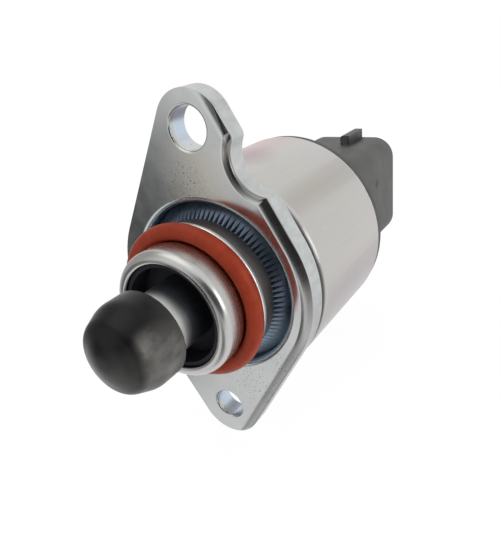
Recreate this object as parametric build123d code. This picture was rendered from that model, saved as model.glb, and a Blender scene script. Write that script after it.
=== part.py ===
"""Idle air control valve with a stepper motor that drives a pintle in and out.

Units are millimetres. The pintle's axis is Y: the nose and pintle point to -Y,
the electrical connector to +Y, and the larger flange ear to +Z. The origin lies
on that axis, in the flange's mounting face.
"""
import os
from math import atan2, degrees, hypot, pi

from build123d import *

# Clearances shared by the fits
SEAT_FIT = 0.05
RUNNING_FIT = 0.05
BALL_FIT = 0.04

# Pintle: plastic tip, polished stem with a flat against turning, lead screw
TIP_R = 6.65
TIP_CYLINDER_LENGTH = 3.8
TIP_CONE_LENGTH = 3.15
TIP_CONE_END_R = 5.35
TIP_NOSE_LENGTH = 1.4
TIP_NOSE_R = 2.2
TIP_NOSE_ROUNDING = 7.0
TIP_CONE_END_ROUNDING = 1.8
TIP_SHOULDER_ROUNDING = 4.0
TIP_EDGE_R = 0.3
STEM_R = 5.0
STEM_LENGTH = 14.6
STEM_FLAT_DEPTH = 0.7
STEM_FLAT_FRONT = 1.3
SPIGOT_R = 2.95
SPIGOT_LENGTH = 5.0
SCREW_R = 3.0
SCREW_LENGTH = 19.5
SCREW_CHAMFER = 0.5
TIP_STANDOFF = 4.45
RETRACT_TRAVEL = 7.0

# Front ball bearing
STEM_BORE_GAP = 0.35
BEARING_LIP_GAP = 0.525
JOURNAL_WALL = 1.05
BEARING_SECTION = 3.8
BEARING_WIDTH = 4.0
RACE_WALL = 0.95
BALL_R = 1.2
BALL_COUNT = 8
CAGE_WALL = 1.1
CAGE_RAIL = 0.3
POCKET_GAP = 0.1

# Nose housing, its seal and the serrated ring that holds it in the flange
NOSE_LENGTH = 10.6
NOSE_R = 10.1
NOSE_WALL = 1.8
NOSE_EDGE_R = 1.7
NOSE_LIP_R = 0.4
NECK_WALL = 1.08
SHOULDER_Y = -3.1
GUIDE_REAR_Y = -1.2
GUIDE_LENGTH = 5.3
GUIDE_SKIRT_WALL = 0.6
GUIDE_SKIRT_GAP = 0.6
FOOT_R = 13.2
FOOT_THICKNESS = 1.5
WASHER_WIDTH = 1.95
WASHER_THICKNESS = 0.8
WASHER_EDGE_R = 0.2
O_RING_SECTION_R = 1.3
O_RING_GAP = 0.02
GLAND_DEPTH = 0.2
RING_WIDTH = 2.35
RING_FRONT_Y = -0.3
RING_CONE_DROP = 2.5
SERRATION_COUNT = 90
SERRATION_DEPTH = 0.6
SERRATION_RUN = 0.62
SERRATION_FILL = 0.85

# Flange plate
FLANGE_THICKNESS = 3.6
FLANGE_STEP = 0.1
UPPER_HOLE_Z = 24.6
UPPER_HOLE_R = 3.2
UPPER_EAR_R = 5.55
LOWER_HOLE_Z = -22.8
LOWER_HOLE_R = 2.6
LOWER_EAR_R = 5.7
NOTCH_X = 11.85
NOTCH_DROP = 4.0
NOTCH_R = 5.45
NOTCH_CORNER_R = 1.2
NOTCH_EDGE_R = 0.5
DIE_ROLL_R = 2.6
DIE_ROLL_INSET = 0.95
DIE_ROLL_FADE = 2.5
RECESS_EDGE_R = 0.9
HOLE_EDGE_R = 0.3

# Rotor
HUB_SHOULDER = 0.6
MAGNET_WALL = 3.0
MAGNET_END_GAP = 0.4
HUB_END_GAP = 0.3
NUT_LENGTH = 12.0
NUT_RELIEF = 0.4
REAR_JOURNAL_R = 4.5
REAR_JOURNAL_LENGTH = 3.2

# Stator: two coils, each between two claw-pole plates
AIR_GAP = 0.4
CLAW_THICKNESS = 0.8
CLAW_COUNT = 6
CLAW_BASE_WIDTH = 4.2
CLAW_TIP_WIDTH = 2.2
CLAW_END_GAP = 1.0
PLATE_THICKNESS = 1.0
COIL_LENGTH = 7.4
BOBBIN_GAP = 0.2
BOBBIN_WALL = 0.7
WINDING_DEPTH = 3.5
BOBBIN_MARGIN = 0.6
PLATE_MARGIN = 0.3

# Can
CAN_WALL = 0.9
CAN_FIT = 0.1
CAN_CORNER_R = 1.9
RIM_THICKNESS = 0.7
RIM_REACH = 1.2

# End cap with the connector
CAP_SKIRT_DEPTH = 3.0
CAP_STEP = 1.4
CAP_COLLAR_INSET = 0.2
CAP_EDGE_R = 0.4
CAP_WEB = 2.0
CAP_SKIRT_WALL = 2.7
CAP_BOSS_WALL = 2.0
CAP_SEAL_R = 0.65
BUSH_WALL = 1.95
BUSH_LENGTH = 2.2
SCREW_POCKET_GAP = 1.0
SCREW_END_GAP = 2.15
WASHER_SPRING_THICKNESS = 0.3
WASHER_SPRING_GAP = 0.1
CONNECTOR_WIDTH = 20.2
CONNECTOR_HEIGHT = 21.7
CONNECTOR_CORNER_R = 4.3
CONNECTOR_WALL = 1.6
CONNECTOR_LENGTH = 28.45
CONNECTOR_EDGE_R = 0.4
SOCKET_DEPTH = 19.6
LUG_X = 2.05
LUG_WIDTH = 2.1
LUG_HEIGHT = 1.9
LUG_LENGTH = 7.4
LUG_LEFT_R = 0.6
LUG_RIGHT_R = 0.15
PIN_PITCH = 7.0
PIN_WIDTH = 1.5
PIN_THICKNESS = 0.6
PIN_RECESS = 5.6
PIN_BEND_R = 0.3
PIN_TAIL_X = 11.0
PIN_TAIL_LENGTH = 3.5
PIN_COVER = 0.5

# Places along the axis, from the nose to the connector's mouth
washer_front_y = SHOULDER_Y - WASHER_THICKNESS
o_ring_y = washer_front_y - O_RING_GAP - O_RING_SECTION_R
gland_front_y = o_ring_y - O_RING_SECTION_R - O_RING_GAP
nose_front_y = -NOSE_LENGTH
tip_rear_y = nose_front_y - TIP_STANDOFF
stem_rear_y = tip_rear_y + STEM_LENGTH
screw_rear_y = stem_rear_y + SCREW_LENGTH
can_front_y = FLANGE_THICKNESS
can_inner_y = can_front_y + CAN_WALL
foot_rear_y = can_inner_y + FOOT_THICKNESS
bearing_front_y = foot_rear_y - BEARING_WIDTH
bearing_mid_y = foot_rear_y - BEARING_WIDTH / 2
phase_length = 2 * PLATE_THICKNESS + COIL_LENGTH
stack_mid_y = foot_rear_y + phase_length
stack_rear_y = stack_mid_y + phase_length
can_rear_y = stack_rear_y + CAP_SKIRT_DEPTH
rim_front_y = can_rear_y - RIM_THICKNESS
cap_seal_y = (stack_rear_y + rim_front_y) / 2
cap_rear_y = can_rear_y + CAP_STEP
mouth_y = cap_rear_y + CONNECTOR_LENGTH
socket_floor_y = mouth_y - SOCKET_DEPTH
hub_front_y = bearing_front_y + HUB_END_GAP
magnet_front_y = foot_rear_y + PLATE_THICKNESS + MAGNET_END_GAP
magnet_rear_y = stack_rear_y - PLATE_THICKNESS - MAGNET_END_GAP
hub_rear_y = magnet_rear_y + REAR_JOURNAL_LENGTH
bush_rear_y = stack_rear_y + BUSH_LENGTH

# Radii, from the stem outward to the can, and the height of the stem's flat
stem_flat_z = STEM_FLAT_DEPTH - STEM_R
stem_bore_r = STEM_R + STEM_BORE_GAP
bearing_lip_r = stem_bore_r + BEARING_LIP_GAP
journal_r = stem_bore_r + JOURNAL_WALL
bearing_r = journal_r + BEARING_SECTION
ball_pitch_r = (journal_r + bearing_r) / 2
neck_r = bearing_r + SEAT_FIT + NECK_WALL
nose_bore_r = NOSE_R - NOSE_WALL
gland_r = NOSE_R - GLAND_DEPTH
washer_bore_r = gland_r + SEAT_FIT
ring_bore_r = neck_r + SEAT_FIT
ring_r = ring_bore_r + RING_WIDTH
recess_r = ring_r + SEAT_FIT
hub_r = journal_r + HUB_SHOULDER
magnet_r = hub_r + MAGNET_WALL
claw_bore_r = magnet_r + AIR_GAP
claw_r = claw_bore_r + CLAW_THICKNESS
bobbin_bore_r = claw_r + BOBBIN_GAP
winding_bore_r = bobbin_bore_r + BOBBIN_WALL
winding_r = winding_bore_r + WINDING_DEPTH
bobbin_r = winding_r + BOBBIN_MARGIN
plate_r = bobbin_r + PLATE_MARGIN
can_bore_r = plate_r + CAN_FIT
can_r = can_bore_r + CAN_WALL
rim_bore_r = can_bore_r - RIM_REACH
flange_body_r = can_r - FLANGE_STEP
cap_seal_r = can_bore_r - O_RING_GAP - CAP_SEAL_R
bush_r = REAR_JOURNAL_R + RUNNING_FIT + BUSH_WALL


def turned(*corners):
    """Revolve an outline about Y. A corner is (radius, y) or (radius, y, rounding)."""
    points = [corner[:2] for corner in corners]
    roundings = [corner[2] if len(corner) > 2 else 0 for corner in corners]
    outline = FilletPolyline(*points, radius=roundings, close=True)
    return revolve(make_face(outline), Axis.Y)


def ring(inner_r, outer_r, front_y, rear_y):
    """Plain ring about Y with square edges."""
    return turned((inner_r, front_y), (outer_r, front_y), (outer_r, rear_y), (inner_r, rear_y))


def torus(centre_r, section_r, y):
    """Round-section ring about Y."""
    return Pos(Y=y) * Rot(X=90) * Torus(centre_r, section_r)


def around(shape, count, start=0.0):
    """Copies of a shape, evenly spaced about Y."""
    return [Rot(Y=start + 360 * i / count) * shape for i in range(count)]


def prism(face, front_y, rear_y):
    """Solid along Y from an outline drawn in the XZ plane."""
    return Pos(Y=rear_y) * extrude(face, rear_y - front_y)


def pintle_tip():
    cone_start_y = tip_rear_y - TIP_CYLINDER_LENGTH
    cone_end_y = cone_start_y - TIP_CONE_LENGTH
    nose_y = cone_end_y - TIP_NOSE_LENGTH
    body = turned(
        (0, nose_y),
        (TIP_NOSE_R, nose_y, TIP_NOSE_ROUNDING),
        (TIP_CONE_END_R, cone_end_y, TIP_CONE_END_ROUNDING),
        (TIP_R, cone_start_y, TIP_SHOULDER_ROUNDING),
        (TIP_R, tip_rear_y, TIP_EDGE_R),
        (0, tip_rear_y),
    )
    bore_end_y = tip_rear_y - SPIGOT_LENGTH - SEAT_FIT
    bore = turned(
        (0, bore_end_y),
        (SPIGOT_R + SEAT_FIT, bore_end_y),
        (SPIGOT_R + SEAT_FIT, tip_rear_y),
        (0, tip_rear_y),
    )
    return body - bore


def pintle_stem():
    spigot_front_y = tip_rear_y - SPIGOT_LENGTH
    stem = turned(
        (0, spigot_front_y),
        (SPIGOT_R, spigot_front_y),
        (SPIGOT_R, tip_rear_y),
        (STEM_R, tip_rear_y),
        (STEM_R, stem_rear_y),
        (SCREW_R, stem_rear_y),
        (SCREW_R, screw_rear_y - SCREW_CHAMFER),
        (SCREW_R - SCREW_CHAMFER, screw_rear_y),
        (0, screw_rear_y),
    )
    flat_length = STEM_LENGTH - STEM_FLAT_FRONT
    flat = Box(2 * STEM_R, flat_length, STEM_R, align=(Align.CENTER, Align.MAX, Align.MAX))
    return stem - Pos(0, stem_rear_y, stem_flat_z) * flat


def guide_bush():
    """Black bush: a flat in its bore keeps the stem from turning, a skirt lines the nose."""
    front_y = GUIDE_REAR_Y - GUIDE_LENGTH
    skirt_front_y = nose_front_y + GUIDE_SKIRT_GAP
    bore_r = STEM_R + RUNNING_FIT
    outer_r = nose_bore_r - SEAT_FIT
    sleeve = turned(
        (0, front_y),
        (outer_r - GUIDE_SKIRT_WALL, front_y),
        (outer_r - GUIDE_SKIRT_WALL, skirt_front_y),
        (outer_r, skirt_front_y),
        (outer_r, GUIDE_REAR_Y),
        (0, GUIDE_REAR_Y),
    )
    bore = ring(0, bore_r, front_y, GUIDE_REAR_Y)
    land = Box(2 * bore_r, GUIDE_LENGTH, STEM_R, align=(Align.CENTER, Align.MAX, Align.MAX))
    return sleeve - (bore - Pos(0, GUIDE_REAR_Y, stem_flat_z - RUNNING_FIT) * land)


def nose_housing():
    pocket_r = bearing_r + SEAT_FIT
    return turned(
        (nose_bore_r, nose_front_y, NOSE_LIP_R),
        (NOSE_R, nose_front_y, NOSE_EDGE_R - NOSE_LIP_R),
        (NOSE_R, gland_front_y),
        (gland_r, gland_front_y),
        (gland_r, SHOULDER_Y),
        (neck_r, SHOULDER_Y),
        (neck_r, can_inner_y),
        (FOOT_R, can_inner_y),
        (FOOT_R, foot_rear_y),
        (pocket_r, foot_rear_y),
        (pocket_r, bearing_front_y),
        (bearing_lip_r, bearing_front_y),
        (bearing_lip_r, GUIDE_REAR_Y),
        (nose_bore_r, GUIDE_REAR_Y),
    )


def backing_washer():
    outer_r = washer_bore_r + WASHER_WIDTH
    return turned(
        (washer_bore_r, washer_front_y),
        (outer_r, washer_front_y, WASHER_EDGE_R),
        (outer_r, SHOULDER_Y, WASHER_EDGE_R),
        (washer_bore_r, SHOULDER_Y),
    )


def o_ring():
    return torus(gland_r + O_RING_GAP + O_RING_SECTION_R, O_RING_SECTION_R, o_ring_y)


def serrated_ring():
    """Ring staked into the flange, with V serrations that run out along its conical face."""
    cone_rear_y = RING_FRONT_Y + RING_CONE_DROP
    body = turned(
        (ring_bore_r, RING_FRONT_Y),
        (ring_r, cone_rear_y),
        (ring_r, can_front_y),
        (ring_bore_r, can_front_y),
    )
    slope = degrees(atan2(RING_CONE_DROP, RING_WIDTH))
    run = SERRATION_RUN * hypot(RING_CONE_DROP, RING_WIDTH)
    run_out = degrees(atan2(SERRATION_DEPTH, run))
    half_width = SERRATION_FILL * pi * ring_bore_r / SERRATION_COUNT
    vee = make_face(
        Polyline(
            (SERRATION_DEPTH, 0),
            (-SERRATION_DEPTH, -2 * half_width),
            (-SERRATION_DEPTH, 2 * half_width),
            close=True,
        )
    )
    cutter = extrude(Plane.YZ * vee, 2 * run, both=True)
    placed = Pos(ring_bore_r, RING_FRONT_Y, 0) * Rot(Z=slope - run_out) * cutter
    return body - around(placed, SERRATION_COUNT)


def flange_outline(left, grown):
    """Two ears drawn into the round body, all of it moved left and grown."""
    circles = [(0, flange_body_r), (UPPER_HOLE_Z, UPPER_EAR_R), (LOWER_HOLE_Z, LOWER_EAR_R)]
    return make_hull([(Pos(-left, z) * Circle(r + grown)).edge() for z, r in circles])


def flange_plate():
    """Stamped plate with a notch, a recess bore and a front edge that the die rolled on the right."""
    notch_z = UPPER_HOLE_Z - NOTCH_DROP
    outline = flange_outline(0, 0) - Pos(NOTCH_X, notch_z) * Circle(NOTCH_R)
    notch_corners = outline.vertices().sort_by_distance((NOTCH_X, notch_z))[:2]
    outline = fillet(notch_corners.sort_by(Axis.Y)[-1], NOTCH_CORNER_R)
    plate = prism(Plane.XZ * outline, 0, FLANGE_THICKNESS)
    roll_outline = flange_outline(DIE_ROLL_FADE, DIE_ROLL_FADE + DIE_ROLL_INSET)
    roll = prism(Plane.XZ * roll_outline, 0, FLANGE_THICKNESS)
    plate &= fillet(roll.faces().sort_by(Axis.Y)[0].edges(), DIE_ROLL_R)
    holes = [
        (0, 0, recess_r, RECESS_EDGE_R),
        (0, UPPER_HOLE_Z, UPPER_HOLE_R, HOLE_EDGE_R),
        (0, LOWER_HOLE_Z, LOWER_HOLE_R, HOLE_EDGE_R),
        (NOTCH_X, notch_z, NOTCH_R, NOTCH_EDGE_R),
    ]
    for hole_x, hole_z, hole_r, edge_r in holes:
        cutter = turned(
            (0, 0),
            (hole_r + edge_r, 0),
            (hole_r, edge_r),
            (hole_r, FLANGE_THICKNESS),
            (0, FLANGE_THICKNESS),
        )
        bead = Pos(Y=edge_r) * Rot(X=90) * Torus(hole_r + edge_r, edge_r)
        plate -= Pos(X=hole_x, Z=hole_z) * (cutter - bead)
    return plate


def motor_can():
    """Drawn can, its rear rim crimped into the end cap's groove."""
    return turned(
        (ring_bore_r, can_front_y),
        (can_r, can_front_y, CAN_CORNER_R),
        (can_r, can_rear_y, RIM_THICKNESS),
        (rim_bore_r, can_rear_y),
        (rim_bore_r, rim_front_y),
        (can_bore_r, rim_front_y),
        (can_bore_r, can_inner_y, CAN_CORNER_R - CAN_WALL),
        (ring_bore_r, can_inner_y),
    )


def bearing_races():
    """Outer and inner race with a ball groove in each."""
    groove = torus(ball_pitch_r, BALL_R + BALL_FIT, bearing_mid_y)
    outer = ring(bearing_r - RACE_WALL, bearing_r, bearing_front_y, foot_rear_y)
    inner = ring(journal_r, journal_r + RACE_WALL, bearing_front_y, foot_rear_y)
    return outer - groove, inner - groove


def bearing_balls():
    ball = Pos(ball_pitch_r, bearing_mid_y, 0) * Sphere(BALL_R)
    return Compound(children=around(ball, BALL_COUNT))


def ball_cage():
    half_width = BALL_R + POCKET_GAP + CAGE_RAIL
    rail = ring(
        ball_pitch_r - CAGE_WALL / 2,
        ball_pitch_r + CAGE_WALL / 2,
        bearing_mid_y - half_width,
        bearing_mid_y + half_width,
    )
    pocket = Rot(Y=90) * Cylinder(BALL_R + POCKET_GAP, 2 * CAGE_WALL)
    return rail - around(Pos(ball_pitch_r, bearing_mid_y, 0) * pocket, BALL_COUNT)


def rotor_hub():
    """Rotor body: journal in the bearing, nut on the lead screw, journal in the rear bush."""
    nut_front_y = stem_rear_y + RETRACT_TRAVEL + 2 * HUB_END_GAP
    nut_r = SCREW_R + RUNNING_FIT
    return turned(
        (stem_bore_r, hub_front_y),
        (journal_r - SEAT_FIT, hub_front_y),
        (journal_r - SEAT_FIT, foot_rear_y),
        (hub_r, foot_rear_y),
        (hub_r, magnet_rear_y),
        (REAR_JOURNAL_R, magnet_rear_y),
        (REAR_JOURNAL_R, hub_rear_y),
        (nut_r + NUT_RELIEF, hub_rear_y),
        (nut_r + NUT_RELIEF, nut_front_y + NUT_LENGTH),
        (nut_r, nut_front_y + NUT_LENGTH),
        (nut_r, nut_front_y),
        (stem_bore_r, nut_front_y),
    )


def rotor_magnet():
    return ring(hub_r + SEAT_FIT, magnet_r, magnet_front_y, magnet_rear_y)


def claw_plate(face_y, direction, turn):
    """Pole plate lying on face_y, with tapered claws that reach along direction."""
    front_y = min(face_y, face_y - direction * PLATE_THICKNESS)
    plate = ring(claw_bore_r, plate_r, front_y, front_y + PLATE_THICKNESS)
    claw_length = COIL_LENGTH - CLAW_END_GAP
    sleeve_front_y = min(face_y, face_y + direction * claw_length)
    sleeve = ring(claw_bore_r, claw_r, sleeve_front_y, sleeve_front_y + claw_length)
    tooth = make_face(
        Polyline(
            (-CLAW_BASE_WIDTH / 2, face_y),
            (CLAW_BASE_WIDTH / 2, face_y),
            (CLAW_TIP_WIDTH / 2, face_y + direction * claw_length),
            (-CLAW_TIP_WIDTH / 2, face_y + direction * claw_length),
            close=True,
        )
    )
    cutter = Part() + around(extrude(tooth, claw_r), CLAW_COUNT, turn)
    return plate + (sleeve & cutter)


def bobbin(front_y):
    """Spool that carries one coil."""
    rear_y = front_y + COIL_LENGTH
    return turned(
        (bobbin_bore_r, front_y),
        (bobbin_r, front_y),
        (bobbin_r, front_y + BOBBIN_WALL),
        (winding_bore_r, front_y + BOBBIN_WALL),
        (winding_bore_r, rear_y - BOBBIN_WALL),
        (bobbin_r, rear_y - BOBBIN_WALL),
        (bobbin_r, rear_y),
        (bobbin_bore_r, rear_y),
    )


def winding(front_y):
    rear_y = front_y + COIL_LENGTH - BOBBIN_WALL
    return ring(winding_bore_r, winding_r, front_y + BOBBIN_WALL, rear_y)


def spring_washer():
    """Dished washer that pushes the rotor forward into its bearing."""
    bore_r = REAR_JOURNAL_R + SEAT_FIT + RUNNING_FIT
    front_y = magnet_rear_y + WASHER_SPRING_GAP
    return turned(
        (bore_r, front_y),
        (bush_r - SEAT_FIT, stack_rear_y - WASHER_SPRING_THICKNESS),
        (bush_r - SEAT_FIT, stack_rear_y),
        (bore_r, front_y + WASHER_SPRING_THICKNESS),
    )


def rear_bush():
    return ring(REAR_JOURNAL_R + RUNNING_FIT, bush_r, stack_rear_y, bush_rear_y)


def terminal_pin(side, level):
    """Bent strip: a blade in the socket, a leg through the cap's web and a tail at the coils."""
    blade_x = PIN_PITCH / 2
    half = PIN_THICKNESS / 2
    leg_rear_y = cap_rear_y - PIN_COVER
    leg_front_y = leg_rear_y - PIN_THICKNESS
    tip_y = mouth_y - PIN_RECESS
    tail_y = leg_rear_y - PIN_TAIL_LENGTH
    outline = FilletPolyline(
        (blade_x - half, leg_front_y),
        (PIN_TAIL_X - half, leg_front_y),
        (PIN_TAIL_X - half, tail_y),
        (PIN_TAIL_X + half, tail_y),
        (PIN_TAIL_X + half, leg_rear_y),
        (blade_x + half, leg_rear_y),
        (blade_x + half, tip_y),
        (blade_x - half, tip_y),
        radius=[0, 0, 0, 0, PIN_BEND_R, 0, 0, 0],
        close=True,
    )
    strip = extrude(make_face(outline), PIN_WIDTH / 2, both=True)
    if side < 0:
        strip = mirror(strip, Plane.YZ)
    return Pos(Z=level * PIN_PITCH / 2) * strip


def cap_seal():
    return torus(cap_seal_r, CAP_SEAL_R, cap_seal_y)


def end_cap(pins):
    """Moulded rear cover with the connector's shroud."""
    skirt_r = can_bore_r - CAN_FIT
    shoulder_y = rim_front_y - SEAT_FIT
    step_r = rim_bore_r - SEAT_FIT
    collar_front_y = can_rear_y + SEAT_FIT
    collar_r = can_r - CAP_COLLAR_INSET
    base = turned(
        (0, stack_rear_y),
        (skirt_r, stack_rear_y),
        (skirt_r, shoulder_y),
        (step_r, shoulder_y),
        (step_r, collar_front_y),
        (collar_r, collar_front_y),
        (collar_r, cap_rear_y, CAP_EDGE_R),
        (0, cap_rear_y),
    )
    boss_r = bush_r + SEAT_FIT + CAP_BOSS_WALL
    trough = ring(boss_r, skirt_r - CAP_SKIRT_WALL, stack_rear_y, cap_rear_y - CAP_WEB)
    bush_seat = ring(0, bush_r + SEAT_FIT, stack_rear_y, bush_rear_y)
    pocket_rear_y = screw_rear_y + RETRACT_TRAVEL + SCREW_END_GAP
    screw_pocket = ring(0, SCREW_R + SCREW_POCKET_GAP, stack_rear_y, pocket_rear_y)
    half_groove = CAP_SEAL_R + SEAT_FIT
    groove_bore_r = cap_seal_r - half_groove
    groove = ring(groove_bore_r, can_bore_r, cap_seal_y - half_groove, cap_seal_y + half_groove)

    outer = RectangleRounded(CONNECTOR_WIDTH, CONNECTOR_HEIGHT, CONNECTOR_CORNER_R)
    shroud = prism(Plane.XZ * outer, cap_rear_y, mouth_y)
    shroud = fillet(shroud.faces().sort_by(Axis.Y)[-1].edges(), CONNECTOR_EDGE_R)
    inner = RectangleRounded(
        CONNECTOR_WIDTH - 2 * CONNECTOR_WALL,
        CONNECTOR_HEIGHT - 2 * CONNECTOR_WALL,
        CONNECTOR_CORNER_R - CONNECTOR_WALL,
    )
    socket = prism(Plane.XZ * inner, socket_floor_y, mouth_y)
    top_z = CONNECTOR_HEIGHT / 2
    lug_left_x = LUG_X - LUG_WIDTH / 2
    lug_right_x = LUG_X + LUG_WIDTH / 2
    lug_face = make_face(
        FilletPolyline(
            (lug_left_x, top_z + LUG_HEIGHT),
            (lug_right_x, top_z + LUG_HEIGHT),
            (lug_right_x, top_z - CONNECTOR_WALL / 2),
            (lug_left_x, top_z - CONNECTOR_WALL / 2),
            radius=[LUG_LEFT_R, LUG_RIGHT_R, 0, 0],
            close=True,
        )
    )
    lug_rear_y = mouth_y - CONNECTOR_EDGE_R
    lug = prism(Plane.XZ * lug_face, lug_rear_y - LUG_LENGTH, lug_rear_y)
    return base - trough - bush_seat - screw_pocket - groove + shroud + lug - socket - pins


def build():
    """Every piece by name, in its place."""
    nodes = {
        "pintle_tip": pintle_tip(),
        "pintle_stem": pintle_stem(),
        "guide_bush": guide_bush(),
        "nose_housing": nose_housing(),
        "backing_washer": backing_washer(),
        "o_ring": o_ring(),
        "serrated_ring": serrated_ring(),
        "flange_plate": flange_plate(),
        "motor_can": motor_can(),
        "bearing_balls": bearing_balls(),
        "ball_cage": ball_cage(),
        "rotor_hub": rotor_hub(),
        "rotor_magnet": rotor_magnet(),
        "spring_washer": spring_washer(),
        "rear_bush": rear_bush(),
        "cap_seal": cap_seal(),
    }
    nodes["bearing_outer_race"], nodes["bearing_inner_race"] = bearing_races()

    half_pitch = 180 / CLAW_COUNT
    for phase, phase_y in (("front", foot_rear_y), ("rear", stack_mid_y)):
        turn = 0 if phase == "front" else half_pitch / 2
        coil_y = phase_y + PLATE_THICKNESS
        nodes[f"{phase}_coil_fore_plate"] = claw_plate(coil_y, 1, turn)
        nodes[f"{phase}_coil_aft_plate"] = claw_plate(coil_y + COIL_LENGTH, -1, turn + half_pitch)
        nodes[f"{phase}_bobbin"] = bobbin(coil_y)
        nodes[f"{phase}_winding"] = winding(coil_y)

    sides = [(1, 1), (-1, 1), (1, -1), (-1, -1)]
    pins = [terminal_pin(side, level) for side, level in sides]
    for number, pin in enumerate(pins, start=1):
        nodes[f"terminal_pin_{number}"] = pin
    nodes["end_cap"] = end_cap(pins)
    return nodes


os.makedirs("parts", exist_ok=True)
for name, solid in build().items():
    export_step(solid, f"parts/{name}.step")
    print(name, round(solid.volume, 1))
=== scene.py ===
# %% [markdown]
# # An idle air control valve in Blender
#
# The valve is a small stepper motor in a zinc-plated can. A flange bolts it to a throttle body, and a
# black pintle on a polished stem slides out of a turned nose to set how much air goes by at idle.
# The solids come from a CAD model and stay where they are. This lesson gives them their finishes and
# adds what a CAD model leaves out, such as the turns of wire and the screw's thread.

# %% Load the valve
import math

import bmesh
import bpy
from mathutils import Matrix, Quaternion, Vector


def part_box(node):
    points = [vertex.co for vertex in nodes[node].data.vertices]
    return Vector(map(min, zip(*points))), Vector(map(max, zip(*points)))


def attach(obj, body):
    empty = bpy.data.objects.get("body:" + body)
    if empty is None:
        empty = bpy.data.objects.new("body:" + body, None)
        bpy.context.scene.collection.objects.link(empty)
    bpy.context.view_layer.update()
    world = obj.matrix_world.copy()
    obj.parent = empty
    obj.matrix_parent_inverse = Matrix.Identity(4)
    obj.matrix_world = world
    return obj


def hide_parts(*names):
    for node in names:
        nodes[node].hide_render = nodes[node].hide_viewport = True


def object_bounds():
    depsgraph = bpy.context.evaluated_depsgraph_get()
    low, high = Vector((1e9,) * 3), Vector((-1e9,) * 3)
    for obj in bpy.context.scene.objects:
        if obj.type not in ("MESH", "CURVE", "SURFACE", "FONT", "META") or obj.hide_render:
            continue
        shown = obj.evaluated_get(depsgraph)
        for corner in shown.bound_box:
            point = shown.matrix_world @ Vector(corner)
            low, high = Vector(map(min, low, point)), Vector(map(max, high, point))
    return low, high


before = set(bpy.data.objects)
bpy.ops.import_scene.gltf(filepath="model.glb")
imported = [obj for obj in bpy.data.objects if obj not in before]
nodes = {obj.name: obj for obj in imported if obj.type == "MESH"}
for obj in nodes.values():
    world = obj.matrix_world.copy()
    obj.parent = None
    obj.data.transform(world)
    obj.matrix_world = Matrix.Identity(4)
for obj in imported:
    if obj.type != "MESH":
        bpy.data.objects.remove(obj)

MM = 0.001
cad_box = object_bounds()


def in_mm(box):
    return [round(c / MM, 1) for corner in box for c in corner]


print("solids:", len(nodes), "box in mm:", in_mm(cad_box))

# %% [markdown]
# ## The camera
#
# The photograph looks at the nose from the right and from above, close by, so the tip looks large and
# the connector small. A camera could be turned by hand until it looks right. Here it is placed by three
# facts that were measured: where it stands, the point that it aims at, and how far it leans.

# %% Camera
CAMERA_PLACE = Vector((49.49, -60.93, 37.19)) * MM
AIM_POINT = Vector((0.0, 11.11, -2.88)) * MM
CAMERA_LEAN = math.radians(-6.86)
CAMERA_LENS = 36.07


def add_object(name, data):
    made = bpy.data.objects.new(name, data)
    bpy.context.scene.collection.objects.link(made)
    return made


def make_camera():
    camera = add_object("camera", bpy.data.cameras.new("camera"))
    camera.data.lens = CAMERA_LENS
    camera.data.clip_start = MM
    camera.location = CAMERA_PLACE
    camera.rotation_mode = "QUATERNION"
    aim = (AIM_POINT - CAMERA_PLACE).to_track_quat("-Z", "Y")
    camera.rotation_quaternion = aim @ Quaternion((0, 0, 1), CAMERA_LEAN)
    bpy.context.scene.camera = camera


make_camera()
bpy.context.scene.view_settings.view_transform = "Standard"
print("camera to aim point, mm:", round((AIM_POINT - CAMERA_PLACE).length / MM, 1))

# %% [markdown]
# ## A white room for metal to reflect
#
# Bare metal has almost no colour of its own: it shows the room. The photograph was taken in a white
# room, with a dark area round the camera, another low on the left, and paler ones behind the valve. A
# picture of a studio could be wrapped round the scene, but a few soft round areas, worked out from
# directions, give the same streaks. The camera itself sees plain white.

# %% The room's areas
ROOM_WHITE = (1.0, 1.0, 1.0, 1.0)
SOFT_LIGHT = (0.60, 0.60, 0.61, 1.0)
ROOM_AREAS = {
    "dark_front": {"towards": (0.62, -0.76, 0.20), "full": 24, "edge": 36, "tint": (0.06, 0.06, 0.06)},
    "camera_stand": {"towards": (0.12, -0.98, 0.10), "full": 12, "edge": 27, "tint": (0.22, 0.22, 0.22)},
    "stand_foot": {"towards": (0.12, -0.80, -0.58), "full": 8, "edge": 21, "tint": (0.25, 0.24, 0.23)},
    "dark_right": {"towards": (0.87, -0.49, 0.12), "full": 9, "edge": 19, "tint": (0.12, 0.12, 0.12)},
    "left_wall": {"towards": (-0.92, -0.12, 0.25), "full": 24, "edge": 46, "tint": (0.50, 0.49, 0.48)},
    "shaded_paper": {"towards": (0.10, -0.55, -0.83), "full": 9, "edge": 24, "tint": (0.45, 0.44, 0.43)},
    "low_left": {"towards": (-0.78, -0.58, -0.34), "full": 7, "edge": 21, "tint": (0.09, 0.09, 0.09)},
    "shelf_behind": {"towards": (0.27, 0.86, 0.43), "full": 4, "edge": 12, "tint": (0.78, 0.77, 0.75)},
    "low_behind": {"towards": (0.06, 0.82, -0.60), "full": 10, "edge": 27, "tint": (0.78, 0.76, 0.78)},
    "warm_behind": {"towards": (-0.58, 0.81, 0.10), "full": 6, "edge": 24, "tint": (0.95, 0.84, 0.84)},
}


def connect(tree, source, target):
    tree.links.new(source, target)


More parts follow.
